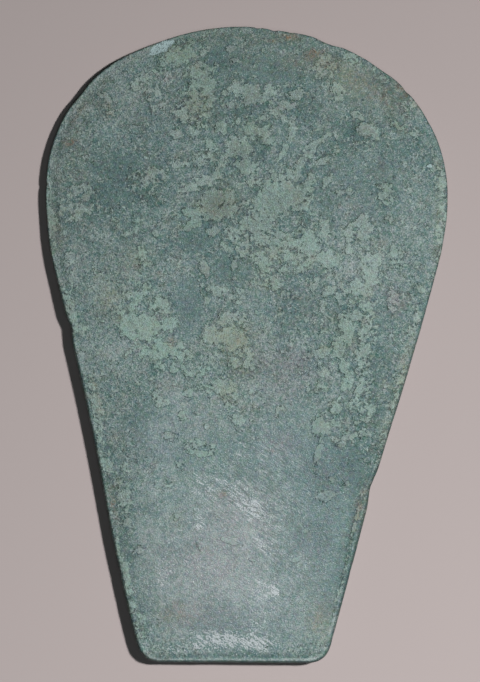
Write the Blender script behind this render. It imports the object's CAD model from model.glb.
"""A flat bronze axe head, cast and hammered, with the patina of a long burial.

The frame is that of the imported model: +Z is up, +Y points from the butt to the cutting edge, and the
axe lies on its back face. Objects and settings are in metres. The form and the patina are worked out
in millimetres, and turned to metres where the mesh is made.
"""

import math

import bpy
import numpy as np
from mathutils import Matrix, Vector, kdtree
from mathutils.geometry import delaunay_2d_cdt


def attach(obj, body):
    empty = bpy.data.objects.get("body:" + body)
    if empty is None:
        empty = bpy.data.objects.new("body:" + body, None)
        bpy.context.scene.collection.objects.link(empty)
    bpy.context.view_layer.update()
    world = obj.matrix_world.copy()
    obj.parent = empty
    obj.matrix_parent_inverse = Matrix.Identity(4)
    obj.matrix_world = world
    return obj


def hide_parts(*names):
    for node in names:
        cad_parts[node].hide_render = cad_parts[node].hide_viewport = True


bl_info = {
    "name": "Bronze Axe Head",
    "version": (1, 0, 0),
    "blender": (4, 5, 0),
    "location": "View3D > Sidebar > Axe Head",
    "description": "Builds a patinated bronze axe head and the stage that it lies on",
    "category": "Object",
}

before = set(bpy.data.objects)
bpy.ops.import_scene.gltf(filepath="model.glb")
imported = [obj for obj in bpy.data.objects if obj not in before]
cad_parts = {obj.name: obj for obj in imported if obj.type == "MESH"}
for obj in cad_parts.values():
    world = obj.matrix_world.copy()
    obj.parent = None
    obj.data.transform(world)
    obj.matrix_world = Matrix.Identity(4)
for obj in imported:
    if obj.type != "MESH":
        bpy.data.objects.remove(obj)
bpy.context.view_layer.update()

MM = 0.001
AXE_NODE = "axe_head"

# ---- The form, in millimetres, as in the solid ------------------------------------------------

THICKNESS = 9.0  # through the flat middle of both faces
BUTT_HEIGHT, FLANK_HEIGHT, EDGE_HEIGHT = 6.2, 5.2, 1.2  # the rim between its two arrises
BUTT_ROUND, FLANK_ROUND, EDGE_ROUND = 1.5, 1.3, 0.6  # how far the rim's rounding reaches in
BEVEL_WIDTH, BEVEL_RISE = 4.0, 1.1  # the ground bevel behind the cutting edge
BUTT_FALL, FLANK_FALL, BLADE_FALL = 24.0, 22.0, 38.0  # how far the faces fall to the rim
BLADE_FROM, BLADE_FULL = -4.0, 50.0  # Y where the flanks turn into the blade
BUTT_Y = -100.0
LIP_FROM_MIDDLE = (95.5, 97.5)  # the lip along the butt sets in between these
LIP_MIDDLE_X, LIP_REACH = -4.5, (24, 29)  # and runs out between these, to either side
THINNEST = 0.02  # half the thickness that is always left

# ---- The mesh ---------------------------------------------------------------------------------

ROW_SPACING = 0.866  # of the face's grid, in steps, for even triangles
GRID_SHAKE = 0.35  # in steps, so that no rows show
RING_INSETS = (0.5, 1.0)  # millimetres from the rim's rounding to the last two rings of points
LATTICE_GAP = 0.6  # steps from the last ring to the grid
WEAR_CIRCLE = 40  # millimetres; the rim's wear is noise read around a circle, so that it closes

# The patina's fields in the colour layers that carry them to the material.
LAYERS = {
    "crust_layer": ("potential", "green", "chalk"), "stain_layer": ("brown", "olive", "plum"),
    "skin_layer": ("tone", "smooth", "blue"), "wear_layer": ("bloom", "scored"),
}
# Fields that also go below zero: the value that stands for zero, and how many units a layer spans.
STORED_ABOUT = {"potential": (0.5, 4), "green": (0.5, 2), "tone": (0.5, 1)}
SPOT_FALL = 1.2  # how fast a soft spot fades

# ---- Patina, in millimetres on the front face -------------------------------------------------

# Islands of pale crust: X, Y, half length, half width, turn in degrees, how solid, how green.
CRUST_ISLANDS = (
    # upper left of the blade
    (-21.5, 91, 6.2, 3.4, 20, 0.55, 1), (-14.8, 84, 4.4, 5, 0, 0.75, 0.8),
    (-14.6, 76, 5, 5.6, 0, 0.35, 0.6), (-24.5, 83.5, 1.6, 2.2, 20, 0.6, -0.3),
    (-13, 91.5, 1.6, 0.9, 0, 0.6, 0), (-9, 87.5, 1.2, 0.9, 0, 0.5, 0), (-3.5, 89, 1.2, 1.1, 0, 0.6, 0),
    (-5, 93, 1.5, 0.9, 0, 0.5, 0.1), (-33, 82.5, 3.2, 2.2, 30, 0.2, 0.1), (-28, 78, 3.5, 3, 0, 0.1, 0),
    (-42, 73, 2.2, 1.6, 0, 0.3, -0.2), (-45, 77, 3, 2, 30, 0.2, -0.1), (-20, 73, 3, 3, 0, 0.2, 0.1),
    (-22, 66, 2.4, 1.5, 0, 0.35, 0.4), (-16, 68, 3.4, 2.2, 20, 0.35, 0.4),
    (-8.5, 67.5, 2, 2, 0, 0.5, 0.6), (-11, 62, 1.6, 3, 30, 0.45, 0.8), (-14, 58, 3, 2.2, 0, 0.35, 0.3),
    (-23, 56, 3, 2, 60, 0.2, 0.2), (-53, 44, 6.5, 5, 60, 0.12, 0.1), (-61.3, 39, 12, 1.6, 91, 0.4, 0.5),
    (-61.8, 50.4, 1.1, 0.9, 0, 0.9, -0.3), (-34.5, 37, 1.2, 3.5, 10, 0.35, 0.7),
    (-28.5, 35, 1.2, 0.9, 0, 0.7, 0.1), (-38, 34, 1.6, 1.3, 0, 0.5, 0.6), (-41, 39, 1, 0.9, 0, 0.6, 0.6),
    (-30, 50, 5, 6, 60, 0.05, 0.1), (-33, 28, 1.4, 4.2, 10, 0.35, 0.7),
    # the angular flakes left of the middle
    (-17.4, 41.6, 3.1, 1.5, 10, 1, 0.8), (-16.2, 38.2, 2.8, 1.9, 35, 1, 0.8),
    (-18.5, 36.2, 1.6, 0.7, 0, 0.9, 0.2), (-10.8, 35.5, 1.8, 1.7, 40, 0.8, 0.1),
    (-18, 49, 2.5, 1.2, 20, 0.5, 0.2), (-14, 51, 4, 2, 10, 0.35, 0.1),
    # upper middle
    (-3.5, 80.5, 3.8, 2, 25, 0.7, 0.3), (1.5, 78.5, 5.2, 3.2, 0, 0.75, 0.3),
    (6.8, 79, 3.6, 2.4, 20, 0.7, 0.2), (15.3, 78.3, 2.6, 1.8, 0, 0.85, 0.1),
    (12.8, 74.6, 3.7, 1.5, 8, 0.95, -0.1), (9, 72.3, 1.6, 1.8, 0, 0.7, 0.2),
    (5.6, 71.2, 1.9, 1.2, 10, 0.7, 0.3), (-5, 75, 1.2, 0.7, 0, 0.7, 0.1),
    (-2.2, 73, 1.5, 0.7, 0, 0.7, 0.1), (-2.8, 71, 0.8, 2, 0, 0.6, 0.2),
    (2, 66.8, 2.6, 2.6, 30, 0.85, 0.8), (6, 65.5, 2.8, 3.4, -30, 0.7, 0.8),
    (12, 70.5, 2.6, 1, -40, 0.7, 0.3), (14.5, 67.5, 1.6, 1.9, -20, 0.85, 0.3),
    (-3.4, 62, 4, 4, 30, 0.75, 0.4), (-8, 58, 2.2, 3, 0, 0.45, 0.3), (0, 56, 4.5, 3, 0, 0.6, 0.7),
    (-9, 54, 2.4, 2.4, 0, 0.45, 0.3), (11.2, 60, 5.4, 1.2, 62, 0.8, 0.4),
    (16.5, 55.5, 5.6, 1.3, 66, 0.85, 0.3), (22, 63.2, 2.8, 1.7, 35, 0.8, 0.3),
    (19.2, 59.5, 3.4, 1.1, 62, 0.7, 0.3), (23.6, 57.4, 2.2, 1.3, 40, 0.75, 0.2),
    (25, 51.4, 3.2, 1.2, 62, 0.9, 0.3), (31.2, 48.2, 2.8, 1.2, 12, 0.6, 0.4),
    (28, 60.4, 1.6, 0.7, 20, 0.7, 0), (20.2, 53, 1, 1, 0, 0.6, 0.2), (11, 53.5, 2.8, 3.6, 50, 0.45, 0.2),
    # upper right
    (25.5, 88, 4.4, 2.4, 25, 0.2, 0.2), (28.6, 79.8, 2.2, 3.4, 20, 0.6, 0.3),
    (24, 84.5, 3, 1.8, 0, 0.1, 0.1), (33.5, 90, 3.4, 1.3, -26, 0.4, 0.8),
    (42.2, 84.5, 3.2, 1.8, -40, 0.35, 0.9), (34.8, 72.4, 1.9, 1.5, 0, 0.75, 0.2),
    (36.8, 67.3, 3.4, 3.9, 20, 0.5, 0.1), (40.6, 66.5, 0.9, 2.6, -10, 0.7, 0.4),
    (47, 68.6, 3.6, 1.1, -38, 0.7, 0.9), (53.4, 66.2, 3.8, 0.6, -4, 0.9, 0.1),
    (57.4, 55.8, 0.9, 0.9, 0, 1, 0.6), (51, 76, 3, 2.6, -50, 0.25, 0), (43.8, 47, 2.6, 3.2, 0, 0.35, 0.6),
    (44.6, 39.4, 1.5, 1.1, 0, 0.85, 0.1), (60.8, 52, 8, 1.8, 100, 0.3, 0.5),
    (61.2, 36, 9, 1.5, 86, 0.2, 0.3),
    # the broad green area of the middle
    (9, 45, 8.5, 5.2, 20, 0.85, 0.6), (3, 38.5, 7, 5.2, 0, 0.6, 0.4), (17.5, 46, 2.6, 6, -20, 0.45, 0.6),
    (2, 31, 6.5, 4.4, 10, 0.35, 0.3), (11, 32, 6.5, 4, 20, 0.6, 0.8), (19, 31, 3.4, 7, 0, 0.55, 0.6),
    (23.8, 36.5, 1.6, 5, 0, 0.6, 0.3), (25.4, 27, 4.4, 3, -10, 0.9, 0.4), (4.5, 27, 3.4, 4, 0, 0.5, 0.9),
    (14.4, 25, 3.6, 3, 0, 0.45, 0.6), (-9, 44, 6, 6, 0, 0.6, 0.5), (4, 51, 3.5, 2, 0, 0.35, 0.1),
    (-4, 33, 4, 4, 0, 0.1, 0.1), (8.6, 18.8, 3.4, 1.8, -20, 0.35, 0.8),
    (21.5, 18.6, 1.6, 2.6, -20, 0.7, 0.3), (25.6, 16.6, 2.8, 1.6, 10, 0.7, 0.2),
    (29, 15, 1.4, 1.3, 0, 0.75, 0.2), (24, 13, 1.4, 1, 0, 0.6, 0.2), (3.6, 10.2, 1, 0.7, 0, 0.8, 0.7),
    (14, 15.5, 2.6, 1.6, 20, 0.2, 0), (-13.4, 24.6, 1.3, 2.6, 25, 0.95, 0),
    (-12.4, 22.2, 0.8, 1.6, 0, 0.9, 0), (-9.6, 17, 3.8, 1.5, -8, 0.85, 0.2),
    (-12.6, 13.8, 1.4, 1.3, 0, 0.55, 0.1), (-2.8, 15.2, 3.6, 2.2, 20, 0.2, 0.1),
    (-4, 27, 2.2, 3.4, 0, 0.3, 0.1),
    # left middle, with the greenest patch
    (-33, 6.2, 7.4, 4.6, 0, 0.9, 0.9), (-25, 6.4, 3.6, 3.4, 0, 0.8, 0.9),
    (-34.6, 13.5, 2.4, 4.6, -14, 0.85, 0.8), (-31.2, 17.2, 1.4, 3.2, -10, 0.7, 0.9),
    (-38, 17, 1.6, 3.4, 30, 0.3, 0.3), (-27.5, 12.5, 4, 3.2, 30, 0.25, 0.6),
    (-27.5, -1.6, 6.8, 3, 6, 1, 1), (-21, -2.2, 1.8, 3.8, 0, 0.5, 0.8),
    (-37, -2.6, 2.8, 1, 35, 0.45, 0.3), (-27.4, -7.4, 1.8, 1.4, 20, 0.6, 0.8),
    (-23, -7.2, 1.1, 1.8, 0, 0.6, 0.8), (-18, -3, 0.9, 1.6, 30, 0.7, 0.8),
    (-18.6, -8.4, 1.6, 1.6, 0, 0.6, 0.9), (-13.6, -8.6, 2.4, 0.8, 30, 0.45, 0.7),
    (-9, -12.2, 2.2, 2, 0, 0.45, 0.5), (-14.4, -13.4, 3, 0.8, 12, 0.6, 0.7),
    (-18.4, -15, 1.6, 1.7, 0, 0.85, 0.7), (-28, -17, 1.6, 2.4, 30, 0.4, 0.4),
    (-25.4, -18.4, 1.8, 1.4, 0, 0.4, 0.3), (-20.2, -22.3, 1.5, 1.5, 20, 0.85, 0.7),
    (-15.8, -21.5, 1.3, 0.7, -10, 0.8, 0.5), (-12.5, -25.6, 0.9, 0.7, 0, 0.9, 0),
    (-23.8, -28.6, 2.2, 1.4, 0, 0.6, 0.2), (-2.8, -23.5, 1.8, 2, 0, 0.6, 0.3),
    (-27, -13, 0.8, 0.7, 0, 0.8, -0.2), (-4, 20.8, 1, 0.8, 0, 0.3, 0.1),
    (-4.6, 2, 5.2, 4.2, 0, 0.75, 0.2), (-12, 3, 2.8, 2.6, 20, 0.6, 0.2), (-5, 8.4, 5.5, 2.8, 0, 0.3, 0.1),
    (-2, -4.6, 3.6, 4.6, 10, 0.4, 0.5), (-5.5, -15, 2.6, 4.4, 0, 0.2, 0.5),
    (-40.4, 9.5, 2, 2.6, 20, 0.25, 0.6), (-55.4, 12, 8, 1.5, 103, 0.7, 0.5),
    (-52, 4.6, 1.6, 2.2, 0, 0.35, 0.3), (-56, 26, 3, 1.6, 80, 0.2, 0.2),
    (-47.6, -17, 8, 1.6, 105, 0.3, 0.4), (-44.4, -36, 7, 1.8, 105, 0.3, 0.5),
    (-38.6, -38.6, 0.9, 1.1, 0, 0.7, 0.6), (-15.4, -31.4, 4.4, 1.6, 0, 0.45, 0.8),
    (-14.6, -33.9, 3.6, 0.9, 0, 0.95, 1), (-20.5, -37.6, 1.2, 1.9, 10, 0.5, 0.4),
    (-28.6, -36, 0.7, 1, 20, 0.7, 0.7),
    # right middle
    (38.6, 24, 3.4, 8, 5, 0.75, 0.3), (36, 36, 4.2, 4.2, 0, 0.6, 0.2), (32.4, 34, 1.6, 2.4, 0, 0.7, 0.1),
    (31.8, 29.6, 1.5, 1.6, 0, 0.75, 0), (34, 17, 4.5, 3.2, 0, 0.55, 0.3),
    (33.6, 11, 4, 3.5, 0, 0.35, 0.4), (38, 5, 2.8, 9, 0, 0.35, 0.3), (36.6, -8, 3, 6, 0, 0.25, 0.4),
    (30.8, 5.4, 2.3, 5.2, 8, 1, 0.8), (28.8, -1.2, 2, 4.2, 20, 1, 0.8),
    (31.2, -11.6, 1.7, 3.6, -10, 0.95, 0.8), (30.6, -6, 1.5, 3.4, 8, 0.6, 0.6),
    (24.6, -2.6, 3.4, 1.5, 8, 0.75, 0.5), (23.4, -13.6, 1.6, 1.6, 0, 0.75, 0.7),
    (24, -8, 1.6, 3.4, 0, 0.35, 0.3), (27.8, -20.3, 2.2, 2.2, 0, 0.8, 0.5),
    (23.4, -25.4, 2.4, 3.6, -14, 0.75, 0.6), (22.6, -34, 1.1, 5.2, -10, 0.7, 0.5),
    (26.4, -24, 2.2, 1.2, 0, 0.45, 0.5), (36, -20, 3.6, 4.6, 0, 0.2, 0.4),
    (34, -28, 4, 1.8, 20, 0.25, 0.2), (29, -31, 2.2, 1.2, 0, 0.45, 0.3),
    (36.6, -14.6, 2.4, 2.4, 0, 0.25, 0.4), (54.2, 18.4, 1.9, 1.9, 0, 0.5, 0.3),
    (46.6, 28, 2.4, 3.6, 20, 0.25, 0.3), (46, 14, 2, 4, 0, 0.2, -0.5), (53, 8, 5, 1.4, 72, 0.3, 0),
    (24.6, 10, 3, 0.8, -45, 0.4, 0.1), (26.6, -42.4, 1.5, 1.2, 0, 0.75, 0.5),
    (31.4, -43, 1.5, 1.1, 0, 0.55, 0.3), (25, -47.4, 2.6, 1.9, 20, 0.4, 0.2),
    (10.8, -20.5, 1.2, 2, -30, 0.3, 0), (47.4, -14, 6, 1.2, 74, 0.35, 0.1),
    (42.8, -30, 5, 1.2, 72, 0.35, 0.2),
    # lower half
    (-5.2, -61.6, 3.4, 0.6, -16, 0.7, 0.1), (-26, -43.4, 2.4, 1.8, 0, 0.2, 0.4),
    (-15, -63, 0.6, 1.8, 25, 0.6, 0.9), (2, -67.6, 1.2, 0.8, 0, 0.5, 0.8),
    (15.4, -67.4, 1.4, 0.7, 40, 0.3, 0.8), (18.4, -58.6, 1.2, 0.6, -10, 0.6, 0.8),
    (-22, -54, 1.2, 1, 0, 0.2, 0.7), (-33.8, -64.6, 1.2, 2.4, -40, 0.4, 0.3),
    (-37.6, -75, 13, 1.2, 103, 0.4, 0.8), (-33, -88, 1.6, 4.4, 8, 0.25, 0.9),
    (34, -56, 8, 0.7, 76, 0.45, 0.3), (29.4, -76, 9, 0.7, 76, 0.3, 0.4),
    (-38.4, -50, 8, 2, 100, 0.25, 0.3), (31.6, -63.6, 1.4, 1, 0, 0.5, 0.2),
)

# Holes through the crust, down to the smooth dark skin: X, Y, half length, half width, turn.
CRUST_HOLES = (
    (-5, 54.6, 2.8, 1.5, 0), (-3.2, 53.2, 1.2, 1.8, 0), (-7.2, 54.6, 1, 1.4, 0),
    (-33.4, 12.2, 1.9, 1.2, 10), (-35.2, 4, 0.9, 0.7, 0), (-31, -0.2, 2, 0.5, 25),
    (-26.5, 2.4, 2, 0.5, 10), (15.6, 38.6, 2.2, 1.9, 10), (13.4, 36.2, 1.8, 1, 20),
    (24, 42.5, 2.4, 3.2, 20), (29, 38, 2, 6, 10), (24, 22.6, 3.2, 1.5, 0), (34.6, 36.2, 1.4, 0.7, -30),
    (32.6, 23, 1.6, 2.4, 0), (-37.2, 1, 1.1, 0.8, 20), (-14.6, 86.2, 1, 0.6, -20),
    (36.6, 69, 0.8, 0.6, 0), (1.5, 73.6, 6, 1.6, 6), (9, 66.4, 0.9, 4.6, 30), (12.6, 65, 1, 3, 30),
    (-18.4, 39.4, 1.4, 0.9, 0), (7.4, 57.5, 1, 4.2, 30), (20.8, 56, 0.9, 3, 26),
    (-31.4, -3.6, 0.6, 0.6, 0), (-16.5, 27.5, 2.6, 2.6, 0), (-6.5, 12.8, 2, 1.3, 0),
    (30.4, -17, 1.2, 2, 10),
)

# Where the crust broke into long streaks: X, Y, reach, direction of the streaks in degrees.
STREAK_ZONES = ((15, 60, 24, 62), (31, 2, 18, 82), (-33, 24, 12, 76))

# Lighter and darker ground: X, Y, half length, half width, turn, how much.
TONE_ZONES = (
    (-6, 90, 7, 7, 0, -0.16), (8, 86.5, 11, 5.5, 0, -0.15), (-33, 68, 6, 3.5, 0, -0.08),
    (-40, 53, 10, 9, 0, -0.08), (-16, 33, 6, 4.2, 0, -0.14), (-6, 24, 7, 6, 0, -0.10),
    (-18, 11, 4, 11, 0, -0.12), (31, -40, 10, 9, 0, -0.20), (43, -3.5, 4, 3, 0, -0.10),
    (16, -5, 6, 5, 0, -0.08), (20, 74, 5, 5, 0, -0.12), (30, 64, 5, 5, 0, -0.10),
    (-45, 30, 12, 10, 0, -0.02), (12, 12, 9, 7, 0, -0.06), (25, 44, 5, 4, 0, -0.08),
    (-2, 73, 8, 3, 0, -0.10), (-20, 68, 14, 9, 0, -0.02), (38, 22, 8, 12, 0, 0.06),
    (8, 44, 11, 9, 0, 0.05), (36, 46, 14, 9, 0, -0.04), (-31, 3, 10, 9, 0, 0.06), (-3, 3, 10, 8, 0, 0.04),
    (0, -55, 18, 16, 0, 0.12), (-16, -68, 14, 16, 0, 0.10), (2, -80, 14, 14, 0, 0.14),
    (-10, -92.5, 14, 4, 0, 0.08), (22, -60, 8, 26, 0, -0.06), (-36, -24, 9, 16, 0, -0.08),
    (-24, -24, 10, 10, 0, 0.04), (-40, -56, 5, 24, 12, -0.10), (35, -60, 4, 30, -14, -0.18),
    (41, -16, 4, 12, 0, -0.08), (24, 30, 16, 8, 0, 0.09), (-29, -45, 8, 8, 0, 0.10),
    (22, -91, 12, 6, 0, 0.09), (27, -60, 5, 10, -14, -0.06), (-32, 45, 18, 8, 0, -0.06),
    (-8, 76, 5, 6, 0, -0.05), (14, 47, 12, 5, 0, -0.04), (-2, 61, 6, 5, 0, -0.05),
    (-14.6, 76, 4.5, 4.5, 0, -0.16), (-14.8, 84, 3.5, 3.5, 0, -0.08), (-21.5, 91, 4.5, 3, 20, -0.12),
    (1.5, 78.5, 4.5, 3.5, 0, -0.17), (16.5, 46, 4, 5, -20, -0.13), (-1, 59, 5, 5, 0, -0.10),
    (-9, 44, 5.5, 5.5, 0, -0.28), (9, 45, 6, 4.5, 20, -0.16), (31, 4, 2.5, 4, 8, 0.06),
    (-8, -92, 16, 4, 0, -0.04), (-34, -70, 5, 14, 12, 0.03), (60.5, 40, 2.5, 12, 0, 0.10),
    (-3, 3, 4, 4, 0, -0.10), (12, -6, 5, 5, 0, 0.04), (-47, 0, 6, 8, 12, 0.09), (-8, 90, 4, 4, 0, -0.05),
    (-30, 64, 6, 5, 0, -0.05), (38, 56, 8, 6, 0, -0.04), (30, 45, 5, 5, 0, 0.04),
    (-30, -30, 6, 6, 0, 0.04), (-20, -70, 7, 8, 12, -0.04), (0, -60, 6, 6, 0, 0.03),
    (10, -32, 6, 6, 0, 0.04), (3, 38, 6, 5, 0, -0.10), (36, 36, 4, 4, 0, -0.04), (36, 5, 4, 5, 0, -0.04),
    (37, 67, 3.5, 4, 0, -0.10), (-60.8, 36, 2, 12, 0, 0.06), (22, 60, 5, 5, 0, -0.06),
    (-50, 45, 6, 6, 0, -0.08), (-38, 60, 6, 6, 0, -0.05), (36, 23, 6, 12, 0, 0.07),
    (2, 15, 10, 6, 0, 0.05), (-15, -30, 7, 6, 0, 0.05), (-22, -45, 10, 7, 0, 0.03),
    (34, -60, 4, 10, -14, -0.06), (0, -30, 6, 6, 0, -0.03), (34, 76, 5, 5, 0, -0.04),
    (46, 60, 6, 6, 0, -0.10), (21, 45, 4, 5, 0, 0.08), (-38, 1, 5, 6, 0, 0.08), (-46, 15, 8, 6, 0, 0.05),
    (46, -15, 5, 6, 12, -0.09), (22, -60, 5, 6, 0, -0.08), (-14, -15, 5, 5, 0, -0.04),
    (-20, 30, 10, 5, 0, -0.04), (-38, -45, 4, 5, 0, -0.03), (-30, 90, 8, 5, 30, 0.05),
    (-42, 75, 10, 6, 40, 0.06), (10, 60, 5, 5, 0, 0.04), (-17.4, 40, 3, 3.4, 0, 0.04),
    (4, -76, 24, 18, 0, 0.03), (-27, -75, 4, 8, 12, 0.04), (22, -90, 8, 5, 0, 0.04),
    (10, 30, 5, 5, 0, 0.03), (60, 62, 5, 9, 0, -0.06), (-31, -62, 5, 8, 12, 0.05),
    (-21, -90, 10, 5, 0, 0.04), (24, -84, 5, 12, 0, -0.08), (-42, 78, 12, 8, 40, -0.03),
    (-12, 97, 20, 2.5, 5, -0.10), (14, 96, 14, 3, -8, -0.12), (46, 80, 10, 6, -45, -0.10),
    (-30, -2, 26, 26, 0, 0.05), (-2, -92, 34, 9, 0, -0.05), (-26, -72, 10, 26, 12, 0.06),
    (-44, 56, 16, 16, 0, -0.05), (23, -87, 5, 7, 10, 0.035), (0, -20, 18, 14, 0, 0.04),
    (55, 60, 6, 14, 10, -0.04), (48, 10, 6, 12, 0, -0.04), (-46, -4, 6, 16, 12, -0.06),
)
# Stains, each X, Y, half length, half width, turn, how strong.
OLIVE_STAINS = (
    (-22, 91, 7, 4, 0, 0.55), (-14.6, 75, 5.4, 5.4, 0, 0.8), (-12, 97, 14, 3, 4, 0.5),
    (3, 66, 4, 3.5, 0, 0.2), (8, 28, 10, 5, 0, 0.35), (5, 19, 5, 4, 0, 0.55), (-43, 15, 4, 6, 0, 0.9),
    (-3, 1, 7, 9, 0, 0.9), (-11, 4, 4, 4, 0, 0.4), (30, 3, 3, 8, 10, 0.35), (50.4, -4, 2.4, 9, -14, 0.7),
    (46.6, -17, 2.2, 8, -14, 0.6), (43, -28, 2, 6, -14, 0.5), (-54, 56, 5, 7, 0, 0.5),
    (32, 84, 9, 6, -30, 0.8), (47, 68.6, 4, 2, -38, 0.5), (8, 96.5, 10, 3, -4, 0.4),
    (-5, -14, 4, 5, 0, 0.4), (2, 50, 7, 4, 0, 0.25), (-36, 27, 5, 5, 0, 0.6), (37, -55, 2, 12, -14, 0.4),
    (23, -87, 5, 7, 10, 0.65), (22, 89, 8, 4, -10, 0.45), (4, 89, 9, 4, 0, 0.35), (-8, 44, 6, 6, 0, 0.5),
    (35, 76, 6, 6, 0, 0.3), (46, 76, 5, 5, -45, 0.3), (-26, -86, 4, 5, 0, 0.35), (-50, 80, 8, 3, 45, 0.3),
    (-9, 57, 3, 3, 0, 0.3), (-22, -54, 3, 3, 0, 0.5), (24, -24, 4, 5, 0, 0.25),
    (60.5, 38, 2.2, 16, 0, 0.55), (-60.5, 36, 2, 12, 0, 0.5),
)
BROWN_STAINS = (
    (20.8, 91.2, 2.6, 1.3, 5, 1.5), (24, 92.4, 2, 0.8, 20, 0.6), (13, 96.6, 3.4, 1, -6, 1),
    (8, 95.2, 2, 0.7, 0, 0.8), (13.5, 88, 4, 2.4, 0, 0.35), (-55, 63.6, 2.2, 1.2, 10, 0.8),
    (-51.6, 68, 1.6, 1.2, 0, 0.4), (-53.5, 71, 9, 2.6, 58, 0.3), (38, 81, 9, 5, -30, 0.4),
    (48.4, 80.2, 2.6, 1, -38, 0.9), (52, 76.4, 3.4, 1, -52, 0.5), (-23.6, 0.6, 2, 1.6, 0, 0.8),
    (-46.6, -16, 8, 1.4, 105, 0.4), (-41.5, -51, 8, 1.2, 100, 0.6), (35, -52, 7, 1.4, 76, 0.6),
    (37.4, -44, 3, 1, 76, 0.4), (23, -86, 3.4, 5.4, -20, 0.3), (-21, -84, 6, 4, 0, 0.4),
    (-7.4, -47, 1.5, 1.1, 20, 0.8), (8.6, -33, 1.6, 0.8, -30, 0.5), (51.4, 15, 0.9, 1.2, 0, 0.8),
    (-4, 45, 5, 5, 0, 0.1), (-58.6, 36, 2, 6, 0, 0.3), (-44, 74, 5, 4, 0, 0.3), (42, 30, 2, 4, 0, 0.2),
    (23, 88, 5, 3, 0, 0.25), (46, 76, 5, 4, -45, 0.25), (-31, 7, 5, 3, 0, 0.2), (43, 53, 6, 5, 0, 0.15),
)
PLUM_STAINS = (
    (15, -5, 7, 5, 0, 0.55), (5.5, -4, 4, 7, 0, 0.4), (12, -14, 9, 8, 0, 0.4), (11, -30, 5, 3, 0, 0.4),
    (46.4, 14, 3, 5, 0, 0.6), (-24.5, 83.4, 2, 2.4, 20, 0.5), (-9, 44, 6, 6, 0, 0.05),
    (-24, -13, 4, 4, 0, 0.4), (-14, -23, 9, 7, 0, 0.3), (-2, -52, 13, 11, 0, 0.35),
    (-14, -70, 16, 12, 0, 0.45), (34, 42, 7, 6, 0, 0.25), (-17, -86, 12, 6, 0, 0.35),
    (16, 17, 5, 4, 0, 0.25), (27, 48, 6, 4, 0, 0.15), (-28, 73, 10, 6, 0, 0.2), (-54, 28, 4, 6, 0, 0.25),
    (-2, -64, 24, 26, 0, 0.36), (-30, -64, 7, 14, 10, 0.25), (6, -86, 22, 8, 0, 0.15),
    (20, -75, 8, 12, 0, 0.2), (10, -32, 8, 6, 0, 0.2), (-30, -30, 8, 8, 0, 0.22), (11, 33, 9, 7, 0, 0.1),
    (38, 24, 5, 8, 0, 0.12),
)
BLUE_STAINS = (
    (14, -32, 12, 10, 0, 0.6), (22, -60, 9, 18, 0, 0.45), (-26, -32, 9, 8, 0, 0.5),
    (-42, 46, 8, 9, 0, 0.1), (17, -5, 6, 5, 0, 0.5), (-20, 12, 4, 12, 0, 0.4), (38, 56, 14, 9, 0, 0.1),
    (-6, -86, 20, 8, 0, 0.4), (-4, -64, 22, 18, 0, 0.2), (-32, 62, 14, 6, 0, 0.2),
    (30, -40, 9, 8, 0, 0.3), (0, 12, 12, 5, 0, 0.2),
)
# Chalky white to pale blue spots: X, Y, half length, half width, turn, how strong.
CHALK_SPOTS = (
    (-27, 93.3, 4.4, 1.7, 27, 0.95), (-24, 94.6, 1.6, 1, 20, 0.9), (-29.8, 91.6, 1.6, 0.6, 30, 0.6),
    (-26.4, 92.6, 1.8, 0.9, 0, 0.5), (-38, 87.4, 0.6, 0.5, 0, 0.6), (57.4, 56, 0.9, 0.8, 0, 1.3),
    (-61.9, 50.4, 1, 0.5, 0, 0.5), (47, -1.6, 0.5, 0.5, 0, 0.5), (-12.5, -25.6, 0.6, 0.5, 0, 0.6),
    (-15, -9, 0.5, 0.4, 0, 0.4),
)
# Smooth, closed skin that takes a gloss: X, Y, half length, half width, turn, how smooth.
SMOOTH_ZONES = (
    (-2, -64, 34, 34, 0, 1), (14, -32, 12, 16, 0, 0.8), (-20, -26, 16, 12, 0, 0.7),
    (22, -62, 12, 28, 0, 0.9), (36, 48, 16, 11, 0, 0.35), (-40, 52, 9, 8, 0, 0.3),
    (-18, 11, 4, 10, 0, 0.7), (6, 86, 10, 5, 0, 0.6), (-6, 25, 6, 5, 0, 0.6), (-16, 33, 6, 4, 0, 0.7),
    (12, 66, 3, 6, 30, 0.4), (31, -40, 7, 8, 0, 0.6), (34, 80, 8, 5, -30, 0.4), (0, 12, 9, 5, 0, 0.5),
    (-7, 90, 5, 5, 0, 0.5),
)
# White bloom that rubbing left in short strokes: X, Y, half length, half width, turn, how dense.
BLOOM_ZONES = (
    (1, -50, 13, 6, -38, 0.75), (-14, -45, 6, 5, 0, 0.5), (5, -63, 6, 4, -38, 0.6),
    (5, -77, 6, 6, 0, 0.6), (-26, -72, 3, 6, 0, 0.5), (3, -86, 3, 5, 0, 0.45),
    (-9, -92.4, 13, 4.2, 0, 0.85), (2, -34, 10, 6, 0, 0.35), (-14, -54, 5, 5, 0, 0.45),
    (-18, -66, 12, 10, 0, 0.25), (12, -24, 8, 5, 0, 0.25), (-6, -74, 4, 3, -30, 0.4),
    (6, -94, 7, 2.5, 0, 0.5), (-24, -96, 6, 2, 0, 0.5), (-15.2, -56.9, 1.1, 0.7, -20, 2),
    (8.8, -76.8, 1, 1.2, 20, 2.2), (2, -93, 9, 2.5, 0, 0.35), (-16, -94.5, 2, 1.2, 20, 0.5),
)
# Ground scored by rubbing: X, Y, half length, half width, turn, how strong.
SCORED_ZONES = (
    (4, -46, 16, 12, -38, 0.8), (10, -34, 10, 8, 0, 0.6), (12, -66, 10, 10, 0, 0.3),
    (-14, -48, 10, 8, 0, 0.25), (-30, 42, 8, 8, 0, 0.25), (-34, 62, 10, 6, 0, 0.25),
    (-4, -68, 26, 26, 0, 0.3),
)
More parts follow.
